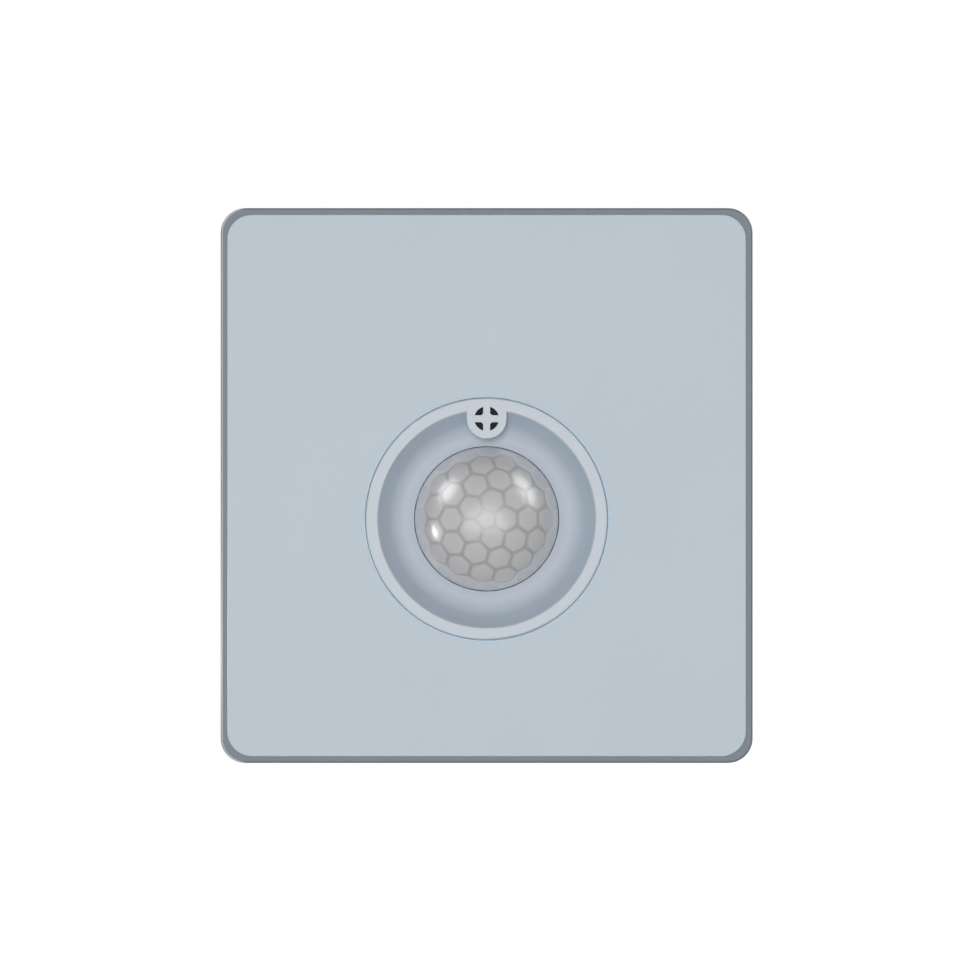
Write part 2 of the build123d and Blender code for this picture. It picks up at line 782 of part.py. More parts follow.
def make_lamp():
    x, z = lamp_centre
    front = sensor_board_front + lamp_height
    body = rod(lamp_radius, sensor_board_front, front - lamp_radius, x, z)
    body += Pos(x, lamp_radius - front, z) * Sphere(lamp_radius)
    body += rod(lamp_flange_radius, sensor_board_front, sensor_board_front + lamp_flange_height, x, z)
    for lead_x, lead_z in lamp_leads:
        body += lead(lead_x, lead_z, sensor_board_front, sensor_board_front, board_thickness)
    return body


def make_daylight_cell():
    x, z = daylight_centre
    body = rod(daylight_radius, sensor_board_front, sensor_board_front + daylight_height, x, z)
    for lead_x, lead_z in daylight_leads:
        body += lead(lead_x, lead_z, sensor_board_front, sensor_board_front, board_thickness)
    return body


def make_trimmer(x):
    top = sensor_board_front + trimmer_height
    body = block(trimmer_side, trimmer_side, sensor_board_front, top, x, trimmer_place_z)
    body -= rod(knob_shaft_radius + knob_clearance, top - knob_shaft_length, top + overrun,
                x, trimmer_place_z)
    for lead_x, lead_z in trimmer_lead_places(x):
        body += lead(lead_x, lead_z, sensor_board_front, sensor_board_front, board_thickness)
    return body


def make_knob(x):
    top = sensor_board_front + trimmer_height
    head_rear = top + knob_lift
    knob = rod(knob_radius, head_rear, knob_front, x, trimmer_place_z)
    knob = chamfer(knob.faces().sort_by(Axis.Y)[0].edges(), knob_edge)
    knob += rod(knob_shaft_radius, top - knob_shaft_length + knob_clearance, head_rear, x, trimmer_place_z)
    slot = block(knob_slot_width, 2 * knob_radius - 2 * knob_edge, knob_front - knob_slot_depth,
                 knob_front + overrun, x, trimmer_place_z)
    return knob - slot


# Microphone behind the tab
mesh_rear = bezel_front - tab_roof - mesh_thickness
capsule_rear = mesh_rear - microphone_gap - microphone_length


def make_boot():
    boot = rod(boot_radius, carrier_front, mesh_rear, z=tab_z)
    boot -= rod(microphone_radius, capsule_rear, mesh_rear + overrun, z=tab_z)
    for x, z in microphone_leads:
        boot -= rod(lead_hole_radius, carrier_front - overrun, capsule_rear + overrun, x, z)
    return boot


def make_microphone():
    capsule = rod(microphone_radius, capsule_rear, capsule_rear + microphone_length, z=tab_z)
    for x, z in microphone_leads:
        capsule += lead(x, z, capsule_rear, sensor_board_front, board_thickness, microphone_lead_radius)
    return capsule


# Terminals: a block of three pockets, each with a bar, a screw and a cage that the screw draws up
bar_tail_z = terminal_z + terminal_block_height / 2 + 2.0 * bar_thickness + bar_thickness / 2


def make_terminal_block():
    body = block(terminal_block_width, terminal_block_height, housing_floor, terminal_block_front, z=terminal_z)
    for x in terminal_places.values():
        body -= block(terminal_pocket_width, terminal_pocket_height, housing_floor - overrun,
                      terminal_pocket_front, x, terminal_z)
        bar_bottom = terminal_z - terminal_block_height / 2 + bar_end_inset
        bar_room = block(bar_width + 2 * bar_play, terminal_block_height, bar_rear, bar_front + bar_play,
                         x, bar_bottom + terminal_block_height / 2)
        entry = Pos(x, -wire_depth, terminal_z - terminal_block_height / 2)
        entry *= Cylinder(wire_entry_radius, terminal_block_height)
        body = body - bar_room - entry
    return body


def make_contact_bar(x):
    bottom = terminal_z - terminal_block_height / 2 + bar_end_inset
    top = bar_tail_z + bar_thickness / 2
    bar = block(bar_width, top - bottom, bar_rear, bar_front, x, (top + bottom) / 2)
    tail = block(bar_tail_width, bar_thickness, power_board_rear - pin_length, bar_rear, x, bar_tail_z)
    return bar + tail


def make_cage(x):
    cage = block(cage_width, cage_height, cage_rear, cage_front, x, terminal_z)
    cage -= block(cage_width - 2 * cage_wall, cage_height + overrun, cage_rear + cage_nut,
                  cage_front - cage_plate, x, terminal_z)
    return cage - rod(terminal_screw_radius + terminal_screw_clearance, cage_rear - overrun,
                      cage_rear + cage_nut + overrun, x, terminal_z)


def make_terminal_screw(x):
    head_front = terminal_head_rear + terminal_head_height
    head = rod(terminal_head_radius, terminal_head_rear, head_front, x, terminal_z)
    shank = rod(terminal_screw_radius, head_front, bar_rear - terminal_screw_clearance, x, terminal_z)
    slot = block(2 * terminal_head_radius + overrun, terminal_slot_width, terminal_head_rear - overrun,
                 terminal_head_rear + terminal_slot_depth, x, terminal_z)
    return head + shank - slot


# Relay: a coil draws the armature down, and its spring blade closes the contacts
def relay_block(length, width, bottom, top, along=0, across=0):
    """A block inside the relay, by its heights above the board."""
    return block(length, width, power_board_front + bottom, power_board_front + top,
                 relay_place[0] + along, relay_place[1] + across)


def relay_rod(radius, bottom, top, along=0, across=0):
    """A round piece inside the relay, by its heights above the board."""
    return rod(radius, power_board_front + bottom, power_board_front + top,
               relay_place[0] + along, relay_place[1] + across)


base_top = relay_base_lift + relay_base_thickness
relay_pin_places = [(share_x * relay_length, share_z * relay_width) for share_x, share_z in relay_pin_shares]
coil_bottom = base_top + yoke_thickness
coil_top = pole_height - pole_thickness


def make_relay_cover():
    outer = relay_block(relay_length, relay_width, 0, relay_height)
    outer = fillet(outer.faces().sort_by(Axis.Y)[0].edges(), relay_wall)
    inner = relay_block(relay_length - 2 * relay_wall, relay_width - 2 * relay_wall,
                        -overrun, relay_height - relay_wall)
    return outer - inner


def hinge_bar(radius):
    """A round bar across the relay, along the axis that the armature rocks on."""
    bar = Cylinder(radius, yoke_width)
    return Pos(relay_place[0] + hinge_along, -(power_board_front + pole_height), relay_place[1]) * bar


def make_relay_base():
    inset = 2 * (relay_wall + relay_play)
    base = relay_block(relay_length - inset, relay_width - inset, relay_base_lift, base_top)
    for along, across in relay_pin_places:
        base -= relay_rod(relay_pin_radius, relay_base_lift - overrun, base_top + overrun, along, across)
    return base - relay_block(fixed_blade_thickness, fixed_blade_width, relay_base_lift - overrun,
                              base_top + overrun, fixed_blade_place)


def make_relay_pins():
    foot = -power_board_thickness - pin_length
    return [relay_rod(relay_pin_radius, foot, base_top, along, across) for along, across in relay_pin_places]


def make_yoke():
    floor_length = yoke_outer - yoke_inner_end
    floor = relay_block(floor_length, yoke_width, base_top, coil_bottom, (yoke_outer + yoke_inner_end) / 2)
    leg = relay_block(yoke_thickness, yoke_width, base_top, pole_height, yoke_outer - yoke_thickness / 2)
    return floor + leg - hinge_bar(bead_radius + bead_play)


def make_core():
    return (relay_rod(core_radius, coil_bottom, pole_height, core_place)
            + relay_rod(pole_radius, coil_top, pole_height, core_place))


def make_bobbin():
    bobbin = relay_rod(bobbin_tube_radius, coil_bottom, coil_top, core_place)
    bobbin += relay_rod(bobbin_radius, coil_bottom, coil_bottom + bobbin_flange, core_place)
    bobbin += relay_rod(bobbin_radius, coil_top - bobbin_flange, coil_top, core_place)
    return bobbin - relay_rod(core_radius + bobbin_play, coil_bottom - overrun, coil_top + overrun, core_place)


def make_winding():
    bottom = coil_bottom + bobbin_flange
    top = coil_top - bobbin_flange
    return (relay_rod(winding_radius, bottom, top, core_place)
            - relay_rod(bobbin_tube_radius, bottom, top, core_place))


def opened(piece):
    """Swings a piece drawn with the relay closed to where it rests with no current."""
    hinge = Axis((relay_place[0] + hinge_along, -(power_board_front + pole_height), 0), (0, 0, 1))
    return piece.rotate(hinge, armature_open_angle)


def make_armature():
    plate = relay_block(hinge_along - armature_inner_end, yoke_width, pole_height,
                        pole_height + armature_thickness, (hinge_along + armature_inner_end) / 2)
    return opened(plate + hinge_bar(bead_radius))


def make_contact_spring():
    blade_bottom = pole_height + armature_thickness
    start = contact_place - contact_radius
    blade = relay_block(spring_start - start, spring_width, blade_bottom, blade_bottom + spring_thickness,
                        (spring_start + start) / 2)
    blade += relay_rod(contact_radius, blade_bottom - contact_thickness, blade_bottom, contact_place)
    return opened(blade)


def make_fixed_contact():
    rivet_top = pole_height + armature_thickness - contact_thickness - contact_gap_closed
    foot_top = rivet_top - contact_thickness
    blade = relay_block(fixed_blade_thickness, fixed_blade_width, -power_board_thickness - pin_length,
                        foot_top, fixed_blade_place)
    outer_side = fixed_blade_place - fixed_blade_thickness / 2
    inner_side = contact_place + contact_radius
    blade += relay_block(inner_side - outer_side, fixed_blade_width, foot_top - fixed_blade_thickness,
                         foot_top, (inner_side + outer_side) / 2)
    return blade + relay_rod(contact_radius, foot_top, rivet_top, contact_place)


# Other parts of the power board
def power_part(size, place):
    """A moulded part that lies flat on the power board."""
    return block(size[0], size[1], power_board_front, power_board_front + size[2], *place)


def with_leads(body, leads, top=0):
    """Adds leads that go from a height above the power board down through it."""
    for x, z in leads:
        body += lead(x, z, power_board_front + top, power_board_front, power_board_thickness)
    return body


def make_film_capacitor():
    body = power_part(film_capacitor_size, film_capacitor_place)
    body = fillet(body.faces().sort_by(Axis.Y)[0].edges(), film_capacitor_edge)
    return with_leads(body, film_leads)


def make_can_capacitor(radius, height, place, leads):
    """An electrolytic can with the bead rolled in near its foot."""
    top = power_board_front + height
    bead = power_board_front + can_bead_height
    wall = outline_through(
        (0, power_board_front), (radius, power_board_front), (radius, bead - can_bead_depth),
        (radius - can_bead_depth, bead), (radius, bead + can_bead_depth),
        (radius, top - can_bead_depth), (radius - can_bead_depth, top), (0, top))
    return with_leads(turned(wall, *place), leads)


def make_varistor():
    x, z = varistor_place
    centre = power_board_front + varistor_lift + varistor_radius
    disc = Pos(x, -centre, z) * Cylinder(varistor_radius, varistor_thickness)
    disc = fillet(disc.edges(), varistor_thickness / 4)
    return with_leads(disc, varistor_leads, varistor_lift + varistor_radius)


def make_fuse():
    x, z = fuse_place
    centre = power_board_front + fuse_lift
    fuse = Pos(x, -centre, z) * Rot(0, 90, 0) * Cylinder(fuse_radius, fuse_length)
    for side in (-1, 1):
        cap = Cylinder(fuse_cap_radius, fuse_cap_length)
        wire = Cylinder(pin_radius, fuse_cap_length + 2 * pin_radius)
        cap_x = x + side * (fuse_length - fuse_cap_length) / 2
        wire_x = x + side * (fuse_length + fuse_cap_length / 2) / 2
        fuse += Pos(cap_x, -centre, z) * Rot(0, 90, 0) * cap
        fuse += Pos(wire_x, -centre, z) * Rot(0, 90, 0) * wire
    return with_leads(fuse, fuse_leads, fuse_lift)


def make_supply_coil():
    x, z = coil_place
    coil = rod(coil_winding_radius, power_board_front, power_board_front + coil_height, x, z)
    coil += rod(coil_radius, power_board_front, power_board_front + coil_flange, x, z)
    coil += rod(coil_radius, power_board_front + coil_height - coil_flange,
                power_board_front + coil_height, x, z)
    return with_leads(coil, coil_leads)


def make_link_pins():
    front = sensor_board_front + pin_length
    rear = power_board_rear - pin_length
    return [block(link_pin_width, link_pin_width, rear, front, x, z) for x, z in link_pin_places()]


def make_link_spacer():
    body = block(link_body_width, link_count * link_pitch, power_board_front,
                 power_board_front + link_body_height, link_x, link_place_z)
    for x, z in link_pin_places():
        body -= block(link_pin_width, link_pin_width, power_board_front - overrun,
                      power_board_front + link_body_height + overrun, x, z)
    return body


def make_sensor_chip():
    return block(chip_size[0], chip_size[1], sensor_board_rear - chip_size[2], sensor_board_rear, *chip_place)


def make_sensor_small_parts():
    length, width, height = small_part_size
    return [block(length, width, sensor_board_rear - height, sensor_board_rear, x, z)
            for x, z in on_board(sensor_small_shares)]


def make_power_small_parts():
    parts = [power_part(rectifier_size, rectifier_place), power_part(supply_chip_size, supply_chip_place)]
    return parts + [power_part(small_part_size, place) for place in on_board(power_small_shares)]


# Screws in groups
def make_housing_screws():
    return [front_screw(x, z, carrier_front, housing_screw_radius, housing_screw_head_radius,
                        housing_screw_head_height, housing_screw_length)
            for x, z in in_four_corners(boss_place_x, boss_place_z)]


def make_bracket_screws():
    length = carrier_front - bracket_screw_tip_gap
    return [front_screw(x, z, carrier_front, screw_radius, screw_head_radius, screw_head_height, length)
            for x, z in in_four_corners(bracket_screw_place_x, bracket_screw_place_z)]


def make_bezel_screws():
    length = carrier_thickness + bezel_wall - hole_clearance
    return [rear_screw(x, z, carrier_rear, screw_radius, screw_head_radius, screw_head_height, length)
            for x, z in bezel_screw_places()]


def make_sensor_board_screws():
    return [rear_screw(x, z, sensor_board_rear, screw_radius, screw_head_radius, screw_head_height,
                       screw_length) for x, z in sensor_post_places]


def make_power_board_screws():
    length = power_board_front - housing_floor - hole_clearance
    return [front_screw(x, z, power_board_front, screw_radius, screw_head_radius, screw_head_height,
                        length) for x, z in power_post_places]


pieces = {
    "trim_frame": make_trim_frame(),
    "face_panel": make_face_panel(),
    "sensor_bezel": make_bezel(),
    "fresnel_lens": make_lens(),
    "acoustic_mesh": rod(boot_radius, mesh_rear, mesh_rear + mesh_thickness, z=tab_z),
    "microphone_boot": make_boot(),
    "microphone_capsule": make_microphone(),
    "carrier": make_carrier(),
    "bezel_screws": make_bezel_screws(),
    "mounting_bracket": make_bracket(),
    "bracket_screws": make_bracket_screws(),
    "rear_housing": make_rear_housing(),
    "housing_screws": make_housing_screws(),
    "sensor_board": make_sensor_board(),
    "sensor_board_screws": make_sensor_board_screws(),
    "sensor_board_parts": make_sensor_small_parts(),
    "sensor_chip": make_sensor_chip(),
    "pir_can": make_detector(),
    "pir_window": make_detector_window(),
    "pir_leads": [lead(x, z, sensor_board_front, sensor_board_front, board_thickness)
                  for x, z in detector_lead_places()],
    "status_led": make_lamp(),
    "light_sensor": make_daylight_cell(),
    "time_trimmer": make_trimmer(-trimmer_place_x),
    "time_knob": make_knob(-trimmer_place_x),
    "light_trimmer": make_trimmer(trimmer_place_x),
    "light_knob": make_knob(trimmer_place_x),
    "link_pins": make_link_pins(),
    "link_spacer": make_link_spacer(),
    "power_board": make_power_board(),
    "power_board_screws": make_power_board_screws(),
    "power_board_parts": make_power_small_parts(),
    "film_capacitor": make_film_capacitor(),
    "smoothing_capacitor": make_can_capacitor(smoothing_capacitor_radius, smoothing_capacitor_height,
                                              smoothing_capacitor_place, smoothing_leads),
    "filter_capacitor": make_can_capacitor(filter_capacitor_radius, filter_capacitor_height,
                                           filter_capacitor_place, filter_leads),
    "varistor": make_varistor(),
    "fuse": make_fuse(),
    "supply_coil": make_supply_coil(),
    "relay_cover": make_relay_cover(),
    "relay_base": make_relay_base(),
    "relay_pins": make_relay_pins(),
    "relay_yoke": make_yoke(),
    "relay_core": make_core(),
    "relay_bobbin": make_bobbin(),
    "relay_winding": make_winding(),
    "relay_armature": make_armature(),
    "relay_contact_spring": make_contact_spring(),
    "relay_fixed_contact": make_fixed_contact(),
    "terminal_block": make_terminal_block(),
    "contact_bars": [make_contact_bar(x) for x in terminal_places.values()],
}
for name, x in terminal_places.items():
    pieces["clamp_" + name] = make_cage(x)
    pieces["terminal_screw_" + name] = make_terminal_screw(x)

os.makedirs("parts", exist_ok=True)
for name, piece in pieces.items():
    shape = Compound(children=piece) if isinstance(piece, list) else piece
    export_step(shape, "parts/" + name + ".step")
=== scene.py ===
import math
import bmesh
import bpy
from mathutils import Matrix, Vector


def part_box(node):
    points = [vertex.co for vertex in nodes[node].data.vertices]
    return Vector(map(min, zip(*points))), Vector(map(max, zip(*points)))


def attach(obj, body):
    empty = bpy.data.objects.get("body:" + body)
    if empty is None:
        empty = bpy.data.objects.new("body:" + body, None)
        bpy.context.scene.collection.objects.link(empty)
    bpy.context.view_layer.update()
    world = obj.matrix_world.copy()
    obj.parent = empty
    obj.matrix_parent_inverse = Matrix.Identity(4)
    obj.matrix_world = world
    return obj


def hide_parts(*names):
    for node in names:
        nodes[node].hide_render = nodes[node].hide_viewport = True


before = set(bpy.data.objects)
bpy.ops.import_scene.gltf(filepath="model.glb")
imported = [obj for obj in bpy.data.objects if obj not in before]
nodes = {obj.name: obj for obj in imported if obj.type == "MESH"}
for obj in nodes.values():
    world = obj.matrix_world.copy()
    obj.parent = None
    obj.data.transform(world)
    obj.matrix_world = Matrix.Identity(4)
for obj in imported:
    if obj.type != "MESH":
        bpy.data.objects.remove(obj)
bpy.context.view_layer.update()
scene = bpy.context.scene
scene.view_settings.view_transform = "Standard"


# Camera: straight in front of the plate and so far off that the view has almost no perspective.
# The plate's width in the picture gives the lens, and its middle there gives the camera's place.
picture_pixels = 970
plate_pixels = 532.07
plate_middle_pixels = Vector((486.65, 485.52))
plate_low, plate_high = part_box("trim_frame")
pixel = (plate_high.x - plate_low.x) / plate_pixels
camera_distance = 1.5

camera = bpy.data.objects.new("camera", bpy.data.cameras.new("camera"))
camera.data.lens = camera.data.sensor_width * camera_distance / (picture_pixels * pixel)
camera.location = (
    (picture_pixels / 2 - plate_middle_pixels.x) * pixel,
    plate_low.y - camera_distance,
    (plate_middle_pixels.y - picture_pixels / 2) * pixel)
camera.rotation_euler = (math.radians(90), 0, 0)
scene.collection.objects.link(camera)
scene.camera = camera


# Daylight: a white room that the camera and the reflections see, and a weaker share of it that
# falls on the object from every side.
daylight = (0.23, 0.235, 0.245)


def add_node(tree, kind, sockets=(), **settings):
    """Adds a shader node. A socket given to an input is wired to it, and a value is set on it."""
    made = tree.nodes.new(kind)
    for name, value in settings.items():
        setattr(made, name, value)
    for name, value in dict(sockets).items():
        if isinstance(value, bpy.types.NodeSocket):
            tree.links.new(value, made.inputs[name])
        else:
            made.inputs[name].default_value = value
    return made


world = bpy.data.worlds.new("studio")
world.use_nodes = True
scene.world = world
room = world.node_tree
ray = add_node(room, "ShaderNodeLightPath").outputs
seen = ray["Is Camera Ray"]
for other in ("Is Glossy Ray", "Is Transmission Ray"):
    seen = add_node(room, "ShaderNodeMath", {0: seen, 1: ray[other]}, operation="MAXIMUM").outputs[0]
room_colour = add_node(room, "ShaderNodeMix", {
    "Factor": seen, "A": (*daylight, 1), "B": (1, 1, 1, 1)}, data_type="RGBA")
room.links.new(room_colour.outputs["Result"], room.nodes["Background"].inputs["Color"])


# Lamps: a round soft box in front gives the light, and a wide one below it, one at each upper
# side and a small one close by on the left only show as glints. Two more light the back.
def aim(thing, place, target):
    """Puts a lamp at a place and turns it to face a target."""
    thing.location = place
    thing.rotation_euler = (Vector(target) - Vector(place)).to_track_quat("-Z", "Y").to_euler()


def soft_box(name, direction, distance, width, height, radiance, colour=(1, 1, 1),
             spread=True, glint=True):
    """A light facing the plate, unseen by the camera. Without spread it shows only as a glint."""
    lamp = bpy.data.lights.new(name, "AREA")
    lamp.shape = "ELLIPSE"
    lamp.size = width
    lamp.size_y = height
    lamp.color = colour
    lamp.energy = radiance * math.pi * math.pi * width * height / 4
    thing = bpy.data.objects.new(name, lamp)
    thing.visible_camera = False
    thing.visible_diffuse = spread
    thing.visible_glossy = glint
    middle = (plate_low + plate_high) / 2
    aim(thing, middle + Vector(direction).normalized() * distance, middle)
    scene.collection.objects.link(thing)


soft_box("key_box", (-0.09, -1, 0.11), 1.2, 0.4, 0.4, 22, (1, 0.98, 0.96), glint=False)
soft_box("front_box", (-0.02, -1, -0.24), 1.2, 1.5, 1.5, 3.6, spread=False)
soft_box("left_box", (-0.79, -0.26, 0.56), 0.6, 0.26, 0.3, 11, spread=False)
soft_box("right_box", (0.77, -0.25, 0.56), 0.6, 0.22, 0.44, 9, spread=False)
soft_box("small_box", (-0.082, -0.0065, -0.027), 0.087, 0.015, 0.019, 56, spread=False)
soft_box("back_left_box", (-0.6, 0.8, 0.5), 0.8, 0.5, 0.5, 3)
soft_box("back_right_box", (0.7, 0.7, 0.3), 0.8, 0.5, 0.5, 2.4)


# Floor: a wide pale disc below the switch. It fades to nothing towards its edge, so no line
# parts it from the white room.
floor_drop = 0.16
floor_radius = 0.9
floor_sides = 128
fade_shares = (0.3, 0.98)
bm = bmesh.new()
bmesh.ops.create_circle(bm, cap_ends=True, radius=floor_radius, segments=floor_sides)
bmesh.ops.translate(bm, vec=(0, 0, -floor_drop), verts=bm.verts)
floor_mesh = bpy.data.meshes.new("floor")
bm.to_mesh(floor_mesh)
bm.free()
floor = bpy.data.objects.new("floor", floor_mesh)
scene.collection.objects.link(floor)
floor_material = bpy.data.materials.new("pale_floor")
floor_material.use_nodes = True
floor_mesh.materials.append(floor_material)
tree = floor_material.node_tree
tree.nodes["Principled BSDF"].inputs["Base Color"].default_value = (0.9, 0.9, 0.9, 1)
tree.nodes["Principled BSDF"].inputs["Roughness"].default_value = 0.6
reach = add_node(tree, "ShaderNodeVectorMath", {0: add_node(tree, "ShaderNodeTexCoord").outputs["Object"]},
                 operation="LENGTH")
fade = add_node(tree, "ShaderNodeMapRange", {
    "Value": reach.outputs["Value"], "From Min": floor_radius * fade_shares[0],
    "From Max": floor_radius * fade_shares[1]},
    interpolation_type="SMOOTHSTEP")
faded = add_node(tree, "ShaderNodeMixShader", {
    0: fade.outputs["Result"], 1: tree.nodes["Principled BSDF"].outputs["BSDF"],
    2: add_node(tree, "ShaderNodeBsdfTransparent").outputs["BSDF"]})
tree.links.new(faded.outputs["Shader"], tree.nodes["Material Output"].inputs["Surface"])


# Moulded plastic: faint clouds in its colour and gloss, and a fine grain from the mould. The
# pieces of plastic, rubber, epoxy and ceramic share it, each with its own values.
cloud_size = 0.02
gloss_swing = 0.1


def new_group(name, inputs, outputs):
    """A shader node group with the sockets given as (kind, name), and its two end nodes."""
    group = bpy.data.node_groups.new(name, "ShaderNodeTree")
    for kind, label in inputs:
        group.interface.new_socket(label, in_out="INPUT", socket_type="NodeSocket" + kind)
    for kind, label in outputs:
        group.interface.new_socket(label, in_out="OUTPUT", socket_type="NodeSocket" + kind)
    return group, add_node(group, "NodeGroupInput").outputs, add_node(group, "NodeGroupOutput").inputs


def centred(tree, value, amount, middle):
    """A noise value turned into a swing of the given amount about a middle."""
    swing = add_node(tree, "ShaderNodeMath", {0: value, 1: 0.5}, operation="SUBTRACT")
    return add_node(tree, "ShaderNodeMath", {0: swing.outputs[0], 1: amount, 2: middle},
                    operation="MULTIPLY_ADD").outputs[0]


moulding, given, result = new_group(
    "moulded_surface",
    [("Color", "Colour"), ("Float", "Drift"), ("Float", "Cloud Size"), ("Float", "Grain Size"),
     ("Float", "Relief"), ("Float", "Roughness"), ("Float", "Roughness Swing")],
    [("Color", "Colour"), ("Float", "Roughness"), ("Vector", "Normal")])
place = add_node(moulding, "ShaderNodeTexCoord").outputs["Object"]
cloud_scale = add_node(moulding, "ShaderNodeMath", {0: 1.0, 1: given["Cloud Size"]}, operation="DIVIDE")
cloud = add_node(moulding, "ShaderNodeTexNoise", {
    "Vector": place, "Scale": cloud_scale.outputs[0], "Detail": 3.0})
grain_scale = add_node(moulding, "ShaderNodeMath", {0: 1.0, 1: given["Grain Size"]}, operation="DIVIDE")
grain = add_node(moulding, "ShaderNodeTexNoise", {
    "Vector": place, "Scale": grain_scale.outputs[0], "Detail": 1.0})
tint = add_node(moulding, "ShaderNodeHueSaturation", {
    "Color": given["Colour"], "Value": centred(moulding, cloud.outputs["Fac"], given["Drift"], 1.0)})
bump = add_node(moulding, "ShaderNodeBump", {"Height": grain.outputs["Fac"], "Distance": given["Relief"]})
moulding.links.new(tint.outputs["Color"], result["Colour"])
moulding.links.new(bump.outputs["Normal"], result["Normal"])
moulding.links.new(centred(moulding, cloud.outputs["Fac"], given["Roughness Swing"], given["Roughness"]),
                   result["Roughness"])


def new_material(name):
    """An empty node material, its tree and its shader."""
    material = bpy.data.materials.new(name)
    material.use_nodes = True
    return material, material.node_tree, material.node_tree.nodes["Principled BSDF"]


def wire_finish(tree, finish, surface):
    """Wires what a finish group gives to the shader sockets of that name."""
    sockets = {"Colour": "Base Color", "Roughness": "Roughness", "Normal": "Normal"}
    for given in finish.outputs:
        tree.links.new(given, surface.inputs[sockets[given.name]])


def moulded(name, colour, roughness, grain_size=0.00025, relief=0.000004, drift=0.05, **shader):
    """A moulded plastic or rubber. Other shader sockets are given by name, with _ for a space."""
    material, tree, surface = new_material(name)
    finish = add_node(tree, "ShaderNodeGroup", {
        "Colour": (*colour, 1), "Drift": drift, "Cloud Size": cloud_size, "Grain Size": grain_size,
        "Relief": relief, "Roughness": roughness, "Roughness Swing": gloss_swing}, node_tree=moulding)
    wire_finish(tree, finish, surface)
    for label, value in shader.items():
        surface.inputs[label.replace("_", " ")].default_value = value
    return material


def tinted(material, amount, tint):
    """Multiplies a material's colour by a tint, a colour or a socket, where the amount is 1."""
    tree = material.node_tree
    colour = tree.nodes["Principled BSDF"].inputs["Base Color"]
    if isinstance(tint, tuple):
        tint = (*tint, 1)
    mixed = add_node(tree, "ShaderNodeMix", {
        "Factor": amount, "A": colour.links[0].from_socket, "B": tint},
        data_type="RGBA", blend_type="MULTIPLY")
    tree.links.new(mixed.outputs["Result"], colour)


def dress(material, *names):
    """Gives CAD nodes a material."""
    for name in names:
        mesh = nodes[name].data
        mesh.materials.clear()
        mesh.materials.append(material)


# Trim frame: the thin grey rim round the plate, moulded plastic with a satin metallic paint and a
# painted highlight along its left edge. It hides the edge of the carrier and holds the panel.
painted_highlight_tint = (2.8, 2.6, 2.4)
highlight_starts = (-0.02, -0.12)
highlight_ends = (-0.75, -0.5)
frame_grey = moulded("frame_grey", (0.145, 0.171, 0.198), 0.4, Specular_IOR_Level=0.3)
tree = frame_grey.node_tree
facing = add_node(tree, "ShaderNodeTexCoord").outputs["Normal"]
leftward = add_node(tree, "ShaderNodeSeparateXYZ", {"Vector": facing}).outputs["X"]
# Painted highlight: lighter where the surface turns from the front towards the left side.
past_front = add_node(tree, "ShaderNodeMapRange", {
    "Value": leftward, "From Min": highlight_starts[0], "From Max": highlight_starts[1]})
before_side = add_node(tree, "ShaderNodeMapRange", {
    "Value": leftward, "From Min": highlight_ends[0], "From Max": highlight_ends[1]})
painted_highlight = add_node(tree, "ShaderNodeMath", {
    0: past_front.outputs["Result"], 1: before_side.outputs["Result"]}, operation="MULTIPLY")
tinted(frame_grey, painted_highlight.outputs["Value"], painted_highlight_tint)
dress(frame_grey, "trim_frame")


# Face panel: the flat pale front, one moulding with its collar and four split pegs. The thin
# edge round its hole is painted lighter and bluer, painted light against the shade of the gap.
hole_edge = 0.00032
hole_light_tint = (1.35, 1.5, 1.58)
rim_low, rim_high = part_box("sensor_bezel")
rim_middle = (rim_low + rim_high) / 2
rim_radius = (rim_high.x - rim_low.x) / 2
panel_blue = moulded("panel_blue", (0.424, 0.495, 0.556), 0.5, drift=0.03)


def reach_from_axis(tree, place):
    """How far a point of the surface is from the bezel's axis."""
    axis = (rim_middle.x, 0, rim_middle.z)
    flat = add_node(tree, "ShaderNodeVectorMath", {0: place, 1: (1, 0, 1)}, operation="MULTIPLY")
    reach = add_node(tree, "ShaderNodeVectorMath", {
        0: flat.outputs["Vector"], 1: axis}, operation="DISTANCE")
    return reach.outputs["Value"]


tree = panel_blue.node_tree
# Painted light: the edge round the hole is lightened and blued where the gap shades it.
at_hole = add_node(tree, "ShaderNodeMapRange", {
    "Value": reach_from_axis(tree, add_node(tree, "ShaderNodeTexCoord").outputs["Object"]),
    "From Min": rim_radius + hole_edge, "From Max": rim_radius + hole_edge / 2})
tinted(panel_blue, at_hole.outputs["Result"], hole_light_tint)
dress(panel_blue, "face_panel")


# Sensor bezel: rim, dish and slotted tab in one moulding, screwed to the carrier from behind.
# The dish is painted with shade: darker than the rim, darkest beside the lens and under the rim,
# and bluer towards the top of its slope.
bezel_grey = moulded("bezel_grey", (0.49, 0.537, 0.597), 0.5, drift=0.02)
dish_reach = (0.012, 0.0176)
foot_shade = (0.66, 0.69, 0.72)
slope_shade = (0.95, 0.98, 1)
top_shade = (0.7, 0.78, 0.85)
slope_place = 0.55
rim_depth = 0.0004
tree = bezel_grey.node_tree
bezel_place = add_node(tree, "ShaderNodeTexCoord").outputs["Object"]
bezel_depth = add_node(tree, "ShaderNodeSeparateXYZ", {"Vector": bezel_place}).outputs["Y"]
